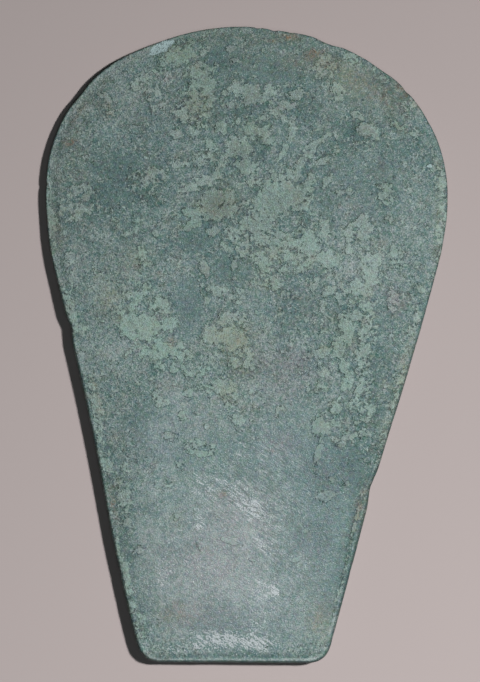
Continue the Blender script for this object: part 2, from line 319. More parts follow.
# Nicks in the rim of the front face: X, Y, reach along the rim, depth.
RIM_NICKS = (
    (-30.4, 89.9, 1.6, 0.4), (-57.6, 17.4, 0.8, 0.2), (-55.2, 5.6, 0.9, 0.25), (-62.8, 50.2, 0.9, 0.3),
    (49.8, 79.6, 1.3, 0.3), (31.4, -71, 1, 0.2), (-44.8, -31, 0.9, 0.25), (3.5, 99.6, 0.8, 0.25),
    (8.6, 98.8, 0.9, 0.3), (13.8, 97.6, 0.8, 0.3), (18.6, 96, 0.9, 0.25), (24, 93.4, 1.1, 0.3),
    (-36, 87, 0.7, 0.2),
)


# ---- Small helpers ----------------------------------------------------------------------------

def linear(code):
    """Turn an sRGB hex colour to the linear red, green and blue that a shader takes."""
    parts = [int(code[i:i + 2], 16) / 255 for i in (1, 3, 5)]
    return tuple(p / 12.92 if p <= 0.04045 else ((p + 0.055) / 1.055) ** 2.4 for p in parts)


def smoothstep(x, start, end):
    """0 up to the start, 1 from the end on, and an S-shaped rise between. The end may be lower."""
    t = np.clip((x - start) / (end - start), 0, 1)
    return t * t * (3 - 2 * t)


def mix(a, b, t):
    return a + (b - a) * t


def ease(t):
    """A face's fall: steepest at the rim, level where it meets the flat middle."""
    return 1 - (1 - np.clip(t, 0, 1)) ** 2


def swell(v, middle, width):
    """A soft hump: 1 where v is at the middle, and next to nothing two widths away."""
    return np.exp(-((v - middle) / width) ** 2)


def hashed(ix, iy, seed):
    """A repeatable value from 0 to 1 for each cell of a grid."""
    h = (ix * 374761393 + iy * 668265263 + seed * 1442695041) & 0xFFFFFFFF
    h = ((h ^ (h >> 13)) * 1274126177) & 0xFFFFFFFF
    return (h ^ (h >> 16)) / 4294967296.0


def noise(x, y, size, seed):
    """Smooth gradient noise from about -1 to 1, with features about one size across."""
    gx, gy = x / size, y / size
    ix, iy = np.floor(gx).astype(np.int64), np.floor(gy).astype(np.int64)
    fx, fy = gx - ix, gy - iy
    u, v = (f * f * f * (f * (f * 6 - 15) + 10) for f in (fx, fy))
    corners = []
    for cy in (0, 1):
        for cx in (0, 1):
            angle = hashed(ix + cx, iy + cy, seed) * math.tau
            corners.append(np.cos(angle) * (fx - cx) + np.sin(angle) * (fy - cy))
    return 1.5 * mix(mix(corners[0], corners[1], u), mix(corners[2], corners[3], u), v)


def fractal(x, y, size, octaves, seed):
    """Noise of several sizes, each half the last and turned, so that no grid shows."""
    total = 0
    for i in range(octaves):
        c, s = math.cos(0.6 + 1.1 * i), math.sin(0.6 + 1.1 * i)
        total = total + noise(x * c - y * s, x * s + y * c, size / 2 ** i, seed + i) / 2 ** i
    return total / (2 - 2 / 2 ** octaves)


def spread(x, y, oval):
    """Distance from the middle of an oval, as a share of its reach in that direction."""
    px, py, along, across, turn = oval
    c, s = math.cos(math.radians(turn)), math.sin(math.radians(turn))
    u, v = (x - px) * c + (y - py) * s, (y - py) * c - (x - px) * s
    return np.sqrt((u / along) ** 2 + (v / across) ** 2)


def stained(x, y, spots):
    """How strongly a list of soft spots colours each point; at a spot's reach it is down to 0.3."""
    total = np.zeros_like(x)
    for *oval, amount in spots:
        total += amount * np.exp(-spread(x, y, oval) ** 2 * SPOT_FALL)
    return total


# ---- Form of the axe --------------------------------------------------------------------------

def blend(y, at_butt, at_flank, at_blade):
    """A size that differs between the butt, the flanks and the blade."""
    butt = 1 - smoothstep(y, BUTT_Y, BUTT_Y + BUTT_FALL)
    return mix(mix(at_flank, at_butt, butt), at_blade, smoothstep(y, BLADE_FROM, BLADE_FULL))


def rim_rounding(y):
    """How far the rim's rounding reaches in, at a height y of the plan."""
    return blend(y, BUTT_ROUND, FLANK_ROUND, EDGE_ROUND)


def half_thickness(y, d):
    """Half the thickness of the metal at a height y of the plan, a distance d in from the rim."""
    blade = smoothstep(y, BLADE_FROM, BLADE_FULL)
    wall = blend(y, BUTT_HEIGHT, FLANK_HEIGHT, EDGE_HEIGHT) / 2
    rounding = rim_rounding(y)
    fall = mix(FLANK_FALL, BLADE_FALL, blade)
    bevel = BEVEL_RISE * blade
    ramp = np.clip((d - rounding) / (BEVEL_WIDTH - rounding), 0, 1)
    crown = ease((d - rounding) / (fall - rounding)) * ease((y - BUTT_Y) / BUTT_FALL)
    rim = wall * np.sqrt(ease(d / rounding))
    return rim + bevel * ramp + (THICKNESS / 2 - wall - bevel) * crown


def along_butt(x, y):
    """1 along the straight of the butt, 0 at its corners and away from it."""
    at_end = smoothstep(-y, *LIP_FROM_MIDDLE)
    return at_end * (1 - smoothstep(np.abs(x - LIP_MIDDLE_X), *LIP_REACH))


def butt_lip(x, y, d):
    """The low lip that the hammered butt has along the front arris, and the hollow behind it."""
    return along_butt(x, y) * (0.32 * swell(d, 1.15, 0.45) - 0.30 * swell(d, 2.3, 0.8))


def solid_outline():
    """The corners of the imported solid's outline, in millimetres, counter-clockwise."""
    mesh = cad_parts[AXE_NODE].data
    co = np.empty(len(mesh.vertices) * 3)
    mesh.vertices.foreach_get("co", co)
    co = co.reshape(-1, 3) / MM
    middle = (co[:, 2].min() + co[:, 2].max()) / 2
    at_middle = np.abs(co[:, 2] - middle) < 0.01
    ring = np.unique(np.round(co[at_middle, :2], 4), axis=0)
    return ring[np.argsort(np.arctan2(ring[:, 1], ring[:, 0]))]


def smooth_ring(corners, step):
    """A closed curve through the corners: points an even step apart, the inward side at each, and
    how far along the curve each lies."""
    ahead = np.roll(corners, -1, axis=0)
    lengths = np.linalg.norm(ahead - corners, axis=1)
    back_lengths = np.roll(lengths, 1)
    slopes = (ahead - np.roll(corners, 1, axis=0)) / (lengths + back_lengths)[:, None]
    starts = np.concatenate([[0], np.cumsum(lengths)])
    count = int(round(starts[-1] / step))
    s = np.arange(count) * starts[-1] / count
    i = np.clip(np.searchsorted(starts, s, side="right") - 1, 0, len(corners) - 1)
    j = (i + 1) % len(corners)
    h = lengths[i][:, None]
    t = (s - starts[i])[:, None] / h
    points = ((2 * t ** 3 - 3 * t ** 2 + 1) * corners[i] + (t ** 3 - 2 * t ** 2 + t) * h * slopes[i]
              + (3 * t ** 2 - 2 * t ** 3) * corners[j] + (t ** 3 - t ** 2) * h * slopes[j])
    along = np.roll(points, -1, axis=0) - np.roll(points, 1, axis=0)
    along /= np.linalg.norm(along, axis=1)[:, None]
    return points, np.stack([-along[:, 1], along[:, 0]], axis=1), s


def rim_distance(points, ring, inward):
    """How far each point lies from the rim; negative outside it."""
    tree = kdtree.KDTree(len(ring))
    for i, p in enumerate(ring):
        tree.insert((p[0], p[1], 0), i)
    tree.balance()
    near = np.array([tree.find((p[0], p[1], 0))[1] for p in points])
    best = np.full(len(points), 1e9)
    for shift in (-1, 0):
        a, b = ring[(near + shift) % len(ring)], ring[(near + shift + 1) % len(ring)]
        side = b - a
        t = np.clip(((points - a) * side).sum(1) / (side * side).sum(1), 0, 1)[:, None]
        best = np.minimum(best, np.linalg.norm(points - a - t * side, axis=1))
    return np.where(((points - ring[near]) * inward[near]).sum(1) > 0, best, -best)


def face_lattice(ring, inward, step, seed):
    """Points of an even, slightly shaken grid inside the rim, with their distance from it."""
    low, high = ring.min(0), ring.max(0)
    points = []
    for j, y in enumerate(np.arange(low[1], high[1], step * ROW_SPACING)):
        x = np.arange(low[0] + (step / 2 if j % 2 else 0), high[0], step)
        points.append(np.stack([x, np.full_like(x, y)], axis=1))
    points = np.vstack(points)
    cell = np.round(points / step * 4).astype(np.int64)
    shake = np.stack([hashed(cell[:, 0], cell[:, 1], seed + k) - 0.5 for k in (0, 1)], axis=1)
    points = points + shake * step * GRID_SHAKE
    return points, rim_distance(points, ring, inward)


# ---- Patina fields ----------------------------------------------------------------------------
# Lengths are in millimetres. The last number of a fractal call is its seed.

def crust_potential(x, y):
    """Above zero where pale crust covers the skin, and how green that crust is."""
    wx, wy = (1.8 * fractal(x, y, 7, 3, seed) + 0.9 * fractal(x, y, 2.2, 2, seed + 4)
              for seed in (11, 21))
    # Small islands are bent less by the noise, so that they stay whole. From its rim the potential
    # of an island falls by 1 over 2.6 mm, or over less on a small one, and rises as fast inwards.
    best = np.full_like(x, -1.0)
    weight, green = np.full_like(x, 0.02), np.zeros_like(x)
    for *oval, solid, hue in CRUST_ISLANDS:
        reach = min(oval[2:4])
        bend = min(1, 0.2 + reach / 3.5)
        r = spread(x + wx * bend, y + wy * bend, oval)
        rise = np.clip((1 - r) * reach / min(2.6, 0.8 * reach), -1, 0.7)
        best = np.maximum(best, np.where(rise > 0, rise * solid, rise))
        w = np.exp(-r * r) * (0.3 + solid)
        weight += w
        green += w * hue
    for oval in CRUST_HOLES:
        reach = min(oval[2:4])
        r = spread(x + wx * 0.7, y + wy * 0.7, oval)
        best = np.minimum(best, np.clip((r - 1) * reach / min(1.5, 0.8 * reach), -0.9, 1.5))
    return best, green / weight


def drawn_out(x, y):
    """Places squeezed along the streaks of each zone, so that noise there is drawn out along them."""
    u, v = x, y
    for px, py, reach, turn in STREAK_ZONES:
        c, s = math.cos(math.radians(turn)), math.sin(math.radians(turn))
        drawn = 0.6 * np.exp(-((x - px) ** 2 + (y - py) ** 2) / reach ** 2)
        along = (u - px) * c + (v - py) * s
        u, v = u - drawn * along * c, v - drawn * along * s
    return u, v


def front_patina(x, y, d):
    """Every quantity that the patina varies by on the front face, as a dictionary of arrays."""
    island, green = crust_potential(x, y)
    smooth = np.clip(sum(amount * smoothstep(1.25 - spread(x, y, oval), 0, 0.5)
                         for *oval, amount in SMOOTH_ZONES), 0, 1)
    smooth = smooth * mix(0.6, 1, smoothstep(d, 2, 7))  # rougher near the rim
    rough = 1 - smooth
    u, v = drawn_out(x, y)
    # Lumps of 4 and 2 mm rag the islands, and mottle of 13 to 1.8 mm varies the ground's tone.
    lumps = 0.34 * fractal(u, v, 4.0, 3, 31) + 0.34 * fractal(u, v, 2.0, 2, 35)
    potential = np.maximum(island, mix(-0.4, -0.9, smooth)) + lumps * mix(1, 0.7, smooth)
    mottle = (0.09 * fractal(x, y, 13, 2, 41) + 0.09 * fractal(x, y, 4.5, 3, 45)
              + 0.07 * fractal(x, y, 1.8, 1, 47))
    tone = stained(x, y, TONE_ZONES) + mottle * mix(1, 0.6, smooth)
    # Rough ground is lighter than smooth skin, apart from a dark margin around the islands.
    tone += mix(0.105, 0.0, smooth) - 0.08 * swell(island, -0.25, 0.3) * rough
    warp = 1.2 * fractal(x, y, 4, 3, 51)

    def blots(size, seed):
        """Scattered small stains, none where the noise is below zero."""
        return np.maximum(0, fractal(x, y, size, 3, seed))

    brown_share = mix(0.4, 1, smoothstep(fractal(x, y, 2.6, 2, 59), -0.2, 0.4))
    return {
        "potential": potential, "green": green, "smooth": smooth, "tone": tone,
        "olive": stained(x + warp, y - warp, OLIVE_STAINS) + 0.5 * blots(6, 53) * rough,
        "brown": stained(x + warp * 0.6, y + warp * 0.6, BROWN_STAINS) * brown_share
        + 0.3 * blots(5, 57) * rough,
        "plum": stained(x - warp, y + warp, PLUM_STAINS) + 0.2 * blots(6, 55),
        "blue": stained(x + warp, y + warp, BLUE_STAINS),
        "chalk": sum(amount * smoothstep(spread(x + warp * 0.5, y, oval), 1.15, 0.7)
                     for *oval, amount in CHALK_SPOTS),
        "bloom": stained(x + warp, y - warp, BLOOM_ZONES),
        "scored": stained(x, y, SCORED_ZONES),
    }


def back_patina(x, y):
    """The hidden back: the same crust and skin, without the front's own islands."""
    lumps = fractal(x, y, 15, 4, 131)
    smooth = smoothstep(-y + 18 * fractal(x, y, 30, 2, 141), 0, 50) * 0.8
    return {
        "potential": 1.7 * lumps - mix(0.25, 0.9, smooth), "smooth": smooth,
        "green": 0.4 + 0.8 * fractal(x, y, 20, 2, 151),
        "tone": 0.1 * fractal(x, y, 18, 3, 161), "olive": 0.7 * fractal(x, y, 14, 2, 171),
        "brown": 0.9 * fractal(x, y, 11, 3, 181) - 0.25, "plum": 0.8 * fractal(x, y, 13, 2, 191),
        "blue": 0.8 * fractal(x, y, 17, 2, 195), "chalk": np.zeros_like(x),
        "bloom": 0.3 * smooth, "scored": 0.4 * smooth,
    }


def rim_wear(patina, x, y, d):
    """Darken the very rim, lighten the worn arris just inside it, and line the butt's lip."""
    rounding = rim_rounding(y)
    ragged = fractal(x, y, 3.5, 3, 61)
    outer = 1 - smoothstep(d, 0.25 * rounding, 0.8 * rounding)
    worn = swell(d - 1.5 * rounding, 0.3, 0.8 + 0.4 * ragged)
    arris = swell(d, rounding, 0.3) * smoothstep(x, 5, 20) * smoothstep(-y, 5, 40)
    lines = 0.2 * swell(d, 1.2, 0.35) - 0.22 * swell(d, 2.4, 0.7)
    patina["tone"] = (patina["tone"] - 0.34 * outer + (0.06 + 0.12 * ragged) * worn
                      + (0.16 + 0.2 * ragged) * arris + along_butt(x, y) * lines)
    patina["smooth"] = patina["smooth"] * (1 - outer)
    return patina


# ---- Settings of the head ---------------------------------------------------------------------

def length_setting(name, description, default, low, high):
    """A length in metres that a user may change."""
    return bpy.props.FloatProperty(name=name, description=description, default=default, min=low,
                                   max=high, precision=5, unit="LENGTH")


def colour_setting(name, description, code):
    """A colour that a user may change, given as sRGB hex."""
    return bpy.props.FloatVectorProperty(name=name, description=description, default=linear(code),
                                         min=0, max=1, subtype="COLOR")


class AxeFormSettings(bpy.types.PropertyGroup):
    """Sizes of the axe head's mesh and relief."""
    front_step: length_setting(
        "Front grid", "Distance between points on the front face", 0.00061, 0.0004, 0.005)
    back_step: length_setting(
        "Back grid", "Distance between points on the back face", 0.00125, 0.0004, 0.005)
    rim_step: length_setting(
        "Rim step", "Distance between points around the rim", 0.0006, 0.0004, 0.005)
    crust_height: length_setting(
        "Crust height", "How far the pale crust stands above the smooth skin", 0.00022, 0, 0.001)
    hammer_depth: length_setting(
        "Hammer marks", "Depth of the broad, shallow hammer marks", 0.00022, 0, 0.001)
    edge_wear: length_setting(
        "Edge wear", "Depth of the fine wear along the rim", 0.00022, 0, 0.001)


class PatinaSettings(bpy.types.PropertyGroup):
    """Colours and grain of the patinated bronze."""
    skin_dark: colour_setting("Darkest skin", "The dark skin in pits and grazes", "#375250")
    skin: colour_setting("Skin", "The smooth grey-green skin over the metal", "#647f7c")
    skin_light: colour_setting("Lightest skin", "Pale grains on the skin", "#b4c1bf")
    green_crust: colour_setting("Green crust", "Crust of green copper salts", "#8ba59c")
    grey_crust: colour_setting("Grey crust", "Crust with more lime and soil in it", "#97a3a1")
    olive: colour_setting("Olive stain", "Stain of soil in the patina", "#8a927f")
    brown: colour_setting("Brown stain", "Stain of iron and cuprite", "#97795e")
    plum: colour_setting("Plum stain", "Lilac to plum speckle of tin-rich patina", "#8b898c")
    blue: colour_setting("Blue-grey stain", "Blue-grey cast of the smooth skin", "#6f818a")
    chalk: colour_setting("Chalk", "Chalky pale blue spots", "#b4cccd")
    bloom: colour_setting("Bloom", "Whitish strokes where the smooth skin was rubbed", "#bfc6c9")
    grain_size: length_setting(
        "Grain size", "Width of the crystals and grains of the crust", 0.0011, 0.0002, 0.01)
    flake_size: length_setting(
        "Flake size", "Width of the angular flakes of the crust", 0.0018, 0.0005, 0.01)
    scratch_width: length_setting(
        "Scratch width", "Width of the fine rubbing scratches", 0.0007, 0.0002, 0.01)


# ---- Mesh of the head -------------------------------------------------------------------------

def build_face(ring, inward, step, ring_count, seed):
    """One face's points: its rim rings, then its lattice, and the triangles between them."""
    count = len(ring)
    rounding = rim_rounding(ring[:, 1])
    shares = [1 - math.cos(math.pi / 2 * j / (ring_count - 2)) for j in range(1, ring_count - 1)]
    depths = [share * rounding for share in shares] + [rounding + inset for inset in RING_INSETS]
    rings = [ring + inward * depth[:, None] for depth in depths]
    lattice, distance = face_lattice(ring, inward, step, seed)
    keep = distance > rim_rounding(lattice[:, 1]) + RING_INSETS[-1] + step * LATTICE_GAP
    lattice, distance = lattice[keep], distance[keep]

    inner = [Vector(p) for p in rings[-1]] + [Vector(p) for p in lattice]
    edges = [(i, (i + 1) % count) for i in range(count)]
    result = delaunay_2d_cdt(inner, edges, [], 1, 1e-7)  # 1 keeps only what is inside the rim
    original = np.array([ids[0] for ids in result[3]])
    if len(result[0]) != len(inner):
        raise RuntimeError("the face's grid and its rim met in a point")
    triangles = [original[np.array(result[2])] + count * (len(rings) - 1)]

    around = np.arange(count)
    after = (around + 1) % count
    for j in range(len(rings) - 1):
        a, b = around + j * count, after + j * count
        triangles += [np.stack([a, b, b + count], axis=1), np.stack([a, b + count, a + count], axis=1)]
    distances = np.concatenate([np.asarray(depth) for depth in depths] + [distance])
    return np.vstack(rings + [lattice]), distances, np.vstack(triangles)


def relief(patina, x, y, d, form, seed):
    """How far the surface lies below the solid's face, in millimetres: the crust's height where
    there is none, grain of up to 0.08, scattered pits, and the broad hammer marks."""
    crust = smoothstep(patina["potential"], -0.25, 0.25)
    rough = 1 - 0.75 * patina["smooth"]
    pits = np.maximum(0, fractal(x, y, 2.4, 1, seed + 5) - 0.35)
    depth = form.crust_height / MM * (1 - crust) * rough
    depth += 0.08 * rough * fractal(x, y, 1.9, 1, seed) ** 2 + 0.25 * rough * pits
    depth += form.hammer_depth / MM * (0.5 + 0.5 * fractal(x, y, 17, 2, seed + 9))
    return depth * smoothstep(d, 0.2, 2.0)


def worn_ring(ring, inward, s, form):
    """The rim with its fine wear and its nicks, taken inwards only."""
    angle = s / (s[-1] + s[1]) * math.tau
    x, y = WEAR_CIRCLE * np.cos(angle), WEAR_CIRCLE * np.sin(angle)
    wear = np.maximum(0, fractal(x, y, 7, 2, 71)) + 0.45 * np.abs(fractal(x, y, 1.3, 2, 75))
    depth = form.edge_wear / MM * wear
    for nx, ny, reach, deep in RIM_NICKS:
        depth += deep * swell(np.hypot(ring[:, 0] - nx, ring[:, 1] - ny), 0, reach)
    return ring + inward * depth[:, None]


def make_axe_mesh(form):
    """The whole skin of the axe head as one closed mesh, with its patina stored at its points."""
    ring, inward, s = smooth_ring(solid_outline(), form.rim_step / MM)
    ring = worn_ring(ring, inward, s, form)
    count = len(ring)
    middle = THICKNESS / 2
    around = np.arange(count)
    after = (around + 1) % count
    at_rim = np.zeros(count)
    patinas = [rim_wear(front_patina(ring[:, 0], ring[:, 1], at_rim), ring[:, 0], ring[:, 1], at_rim)]
    positions = [np.column_stack([ring, np.full(count, middle)])]
    triangles = []
    start = count
    for side, step, rings, grid_seed, relief_seed in (  # the front, then the back
            (1, form.front_step, 8, 5, 81), (-1, form.back_step, 7, 9, 91)):
        points, d, tris = build_face(ring, inward, step / MM, rings, grid_seed)
        x, y = points[:, 0], points[:, 1]
        patina = rim_wear(front_patina(x, y, d) if side > 0 else back_patina(x, y), x, y, d)
        height = half_thickness(y, d)
        if side > 0:
            height += butt_lip(x, y, d)
        height -= relief(patina, x, y, d, form, relief_seed)
        height = np.maximum(height, THINNEST)
        patinas.append(patina)
        positions.append(np.column_stack([points, middle + side * height]))
        band = [np.stack([around, after, start + after], axis=1),
                np.stack([around, start + after, start + around], axis=1)]
        both = np.vstack(band + [tris + start])
        triangles.append(both if side > 0 else both[:, ::-1])
        start += len(points)
    patina = {key: np.concatenate([part[key] for part in patinas]) for key in patinas[0]}
    return np.vstack(positions) * MM, np.vstack(triangles), patina


def store_patina(mesh, patina):
    """Keep the patina's fields in colour layers of the mesh, each value from 0 to 1."""
    for name, fields in LAYERS.items():
        layer = mesh.color_attributes.new(name, "FLOAT_COLOR", "POINT")
        values = np.ones((len(mesh.vertices), 4), np.float32)
        for k, key in enumerate(fields):
            middle, span = STORED_ABOUT.get(key, (0, 1))
            values[:, k] = np.clip(middle + patina[key] / span, 0, 1)
        layer.data.foreach_set("color", values.ravel())


def new_mesh_object(name, positions, triangles):
    """A smooth-shaded object from points in metres and triangles between them."""
    mesh = bpy.data.meshes.new(name)
    mesh.vertices.add(len(positions))
    mesh.vertices.foreach_set("co", positions.astype(np.float32).ravel())
    mesh.loops.add(len(triangles) * 3)
    mesh.loops.foreach_set("vertex_index", triangles.astype(np.int32).ravel())
    mesh.polygons.add(len(triangles))
    mesh.polygons.foreach_set("loop_start", np.arange(len(triangles), dtype=np.int32) * 3)
    mesh.update(calc_edges=True)
    mesh.validate()
    mesh.shade_smooth()
    obj = bpy.data.objects.new(name, mesh)
    bpy.context.scene.collection.objects.link(obj)
    return obj


# ---- Materials --------------------------------------------------------------------------------

def add_node(tree, kind, label, inputs=None, out=0, **settings):
    """Add a node with its settings and inputs, each a value or a socket, and return an output."""
    node = tree.nodes.new("ShaderNode" + kind)
    node.label = label
    for key, value in settings.items():
        setattr(node, key, value)
    for key, value in (inputs or {}).items():
        if isinstance(value, bpy.types.NodeSocket):
            tree.links.new(value, node.inputs[key])
        elif isinstance(value, tuple) and len(value) == 3 and node.inputs[key].type == "RGBA":
            node.inputs[key].default_value = (*value, 1)
        else:
            node.inputs[key].default_value = value
    return node.outputs[out]


# Settings that many nodes share.
PLUS = {"operation": "MULTIPLY_ADD"}  # the first input times the second, plus the third
TIMES = {"operation": "MULTIPLY"}
LESS = {"operation": "SUBTRACT"}
CLAMPED = {"use_clamp": True}
SOFT = {"interpolation_type": "SMOOTHSTEP"}
OVER = {"out": 2, "data_type": "RGBA"}  # two colours, the second over the first
HUE_OVER = {**OVER, "blend_type": "COLOR"}  # the second gives its hue and keeps the lightness


def read_patina(add):
    """The patina's fields as sockets, read from the mesh's colour layers."""
    fields = {}
    for layer, keys in LAYERS.items():
        stored = add("Attribute", layer, attribute_name=layer)
        split = add("SeparateColor", layer + " fields", {0: stored}).node
        fields.update(zip(keys, split.outputs))
    return fields


def make_grains(add, look, scoring):
    """Sockets for the grains, from about a millimetre down to a tenth, for the speckles and hues,
    for the scratches of rubbing, which run down to the right, and for the crust's flakes.

    Real crystals are some tenths of a millimetre wide and real scratches a tenth. Both are drawn
    about a millimetre wide, with finer detail in them, because finer ones alone wouldn't show."""
    place = add("TexCoord", "place on the metal", out="Object")
    turned = add("Mapping", "along the scratches", {
        "Vector": place, "Rotation": (0, 0, math.radians(-36)), "Scale": (5, 1, 1)},
        vector_type="TEXTURE")
    noises = {  # where, how many to the metre, detail, roughness, distortion, output
        "grain": (place, 1 / look.grain_size, 5, 0.72, 0, 0),
        "fine": (place, 2.6 / look.grain_size, 2, 0.6, 0, 0),
        "specks": (place, 1.5 / look.grain_size, 2, 0.6, 0.4, 1),
        "hues": (place, 0.8 / look.grain_size, 3, 0.75, 0, 1),
        "wobble": (place, 0.7 / look.flake_size, 3, 0.6, 0, 1),
        "scratch": (turned, 1 / look.scratch_width, 3, 0.65, 0.25, 0),
    }
    found = {}
    for label, (vector, scale, detail, roughness, distortion, out) in noises.items():
        found[label] = add("TexNoise", label, {
            "Vector": vector, "Scale": scale, "Detail": detail, "Roughness": roughness,
            "Distortion": distortion}, out)
    centred = {label: add("Math", label + " about the mean", {0: found[label], 1: 0.5},
                          **LESS) for label in ("grain", "fine", "scratch")}
    found["grains"] = add("Math", "all grains", {
        0: centred["fine"], 1: 1.3, 2: centred["grain"]}, **PLUS)
    found["scored"] = add("Math", "scratches where it is scored", {
        0: centred["scratch"], 1: scoring}, **TIMES)

    # Angular flakes that the crust breaks into, and smaller chips of it.
    bent = add("VectorMath", "bent place", {
        0: found["wobble"], 1: (look.flake_size,) * 3, 2: place}, **PLUS)
    for label, scale in (("flakes", 1 / look.flake_size), ("chips", 2.3 / look.flake_size)):
        cells = add("TexVoronoi", label, {"Vector": bent, "Scale": scale}, out="Color")
        found[label] = add("SeparateColor", label + " values", {0: cells})
    found["flaking"] = add("Math", "flakes and chips", {
        0: found["chips"], 1: 0.6, 2: found["flakes"]}, **PLUS)
    return found


def make_crust(add, patina, grain):
    """Crust covers the skin where its potential, broken up by flakes and grains, is high. Sockets
    for its cover, for its light rim and dark foot, and for the step at its edge."""
    rough_ground = add("Math", "rough ground", {0: 1, 1: patina["smooth"]}, **LESS)
    strays = add("MapRange", "stray chips", {
        "Value": grain["chips"], "From Min": 0.84, "From Max": 0.9, "To Max": 0.07})
    broken = patina["potential"]
    for label, part, share, shift in (
            ("flakes", grain["flaking"], 0.18, -0.144), ("stray chips", strays, rough_ground, 0),
            ("grains", grain["grain"], 0.22, -0.11)):
        swing = add("Math", "swing of the " + label, {0: part, 1: share, 2: shift}, **PLUS)
        broken = add("Math", "potential with " + label, {0: broken, 1: swing})
    bands = {
        label: add("MapRange", label, {"Value": broken, "From Min": low, "From Max": high}, **SOFT)
        for label, low, high in (
            ("crust cover", 0.49, 0.515), ("inside the crust's rim", 0.515, 0.56),
            ("close to the crust", 0.45, 0.488), ("crust step", 0.48, 0.525))}
    cover = bands["crust cover"]
    rim = add("Math", "rim of the crust", {0: cover, 1: bands["inside the crust's rim"]},
              **LESS, **CLAMPED)
    foot = add("Math", "foot of the crust", {0: bands["close to the crust"], 1: cover},
               **LESS, **CLAMPED)
    line = add("Math", "rim and foot", {0: foot, 1: -0.8, 2: rim}, **PLUS)
    return cover, line, bands["crust step"]


def make_skin(add, look, patina, grain, cover, line):
    """Colour of the skin, by its lightness: its tone, its grains, which show less where it is smooth
    and more on crust, its scratches and flakes, the crust's rim and foot, and specks of salt."""
    swing = add("MapRange", "grain contrast", {
        "Value": patina["smooth"], "To Min": 0.78, "To Max": 0.43})
    more = add("Math", "more on the crust", {0: cover, 1: 0.25, 2: 1}, **PLUS)
    swing = add("Math", "swing of the grains", {0: swing, 1: more}, **TIMES)
    flakes = add("Math", "flakes about the mean", {0: grain["flaking"], 1: -0.8})
    salt = add("MapRange", "specks of salt", {
        "Value": grain["fine"], "From Min": 0.64, "From Max": 0.72, "To Max": 0.28})
    lightness = patina["tone"]
    for label, part, share in (
            ("grains", grain["grains"], swing), ("scratches", grain["scored"], 0.9),
            ("flakes", flakes, 0.09), ("crust", cover, 0.10), ("rim and foot", line, 0.20),
            ("salt", salt, 1)):
        lightness = add("Math", "lightness with " + label, {
            0: part, 1: share, 2: lightness}, **PLUS)
    ramp = add("ValToRGB", "skin colours", {0: lightness}).node
    stops = ramp.color_ramp.elements
    stops[0].position, stops[0].color = 0.12, (*look.skin_dark, 1)
    stops[1].position, stops[1].color = 0.95, (*look.skin_light, 1)
    stops.new(0.5).color = (*look.skin, 1)
    return ramp.outputs[0]


def crust_over(add, look, patina, skin, cover):
    """Crust turns the skin towards grey or green, and keeps the skin's light and dark grains."""
    hue = add("Mix", "crust from grey to green", {
        0: patina["green"], 6: look.grey_crust[:], 7: look.green_crust[:]}, **OVER)
    hued = add("Mix", "crust in its hue", {0: 1, 6: skin, 7: hue}, **HUE_OVER)
    crust = add("Mix", "crust with body", {0: 0.3, 6: hued, 7: hue}, **OVER)
    return add("Mix", "crust over skin", {0: cover, 6: skin, 7: crust}, **OVER)


def stains_over(add, look, patina, grain, colour):
    """Stains keep the lightness of what they lie on and change its hue. Also returns the speckle
    that breaks up the last of them, the brown one."""
    specks = add("SeparateColor", "speckles", {0: grain["specks"]}).node.outputs
    for label, share, channel in (
            ("blue", 0.7, 0), ("olive", 0.65, 1), ("plum", 0.8, 2), ("brown", 0.8, 0)):
        stain = getattr(look, label)[:]
        speckle = add("MapRange", label + " broken by specks", {
            "Value": specks[channel], "From Min": 0.35, "From Max": 0.65,
            "To Min": 0.25 * share, "To Max": 1.3 * share})
        amount = add("Math", label + " amount", {0: patina[label], 1: speckle}, **TIMES, **CLAMPED)
        tinted = add("Mix", label + " stain", {0: 1, 6: colour, 7: stain}, **HUE_OVER)
        deep = add("Mix", label + " depth", {0: 0.35, 6: tinted, 7: stain}, **OVER)
        colour = add("Mix", label + " over", {0: amount, 6: colour, 7: deep}, **OVER)
    return colour, speckle


def salts_over(add, look, patina, grain, colour):
    """Specks of many hues, chalk broken by grains, and the bloom's strokes."""
    colour = add("Mix", "hues over", {0: 0.06, 6: colour, 7: grain["hues"]},
                 blend_type="LINEAR_LIGHT", **OVER)
    strokes = add("Math", "strokes of the bloom", {0: grain["scratch"], 1: grain["fine"]})
    for label, broken, low, high, most in (
            ("chalk", {0: grain["grains"], 1: 1.6, 2: patina["chalk"]}, 0.4, 0.75, 0.9),
            ("bloom", {0: patina["bloom"], 1: 0.42, 2: strokes}, 1.28, 1.40, 0.85)):
        cover = add("MapRange", label + " cover", {
            "Value": add("Math", label + " broken up", broken, **PLUS),
            "From Min": low, "From Max": high, "To Max": most}, **SOFT)
        colour = add("Mix", label + " over", {
            0: cover, 6: colour, 7: getattr(look, label)[:]}, **OVER)
    return colour


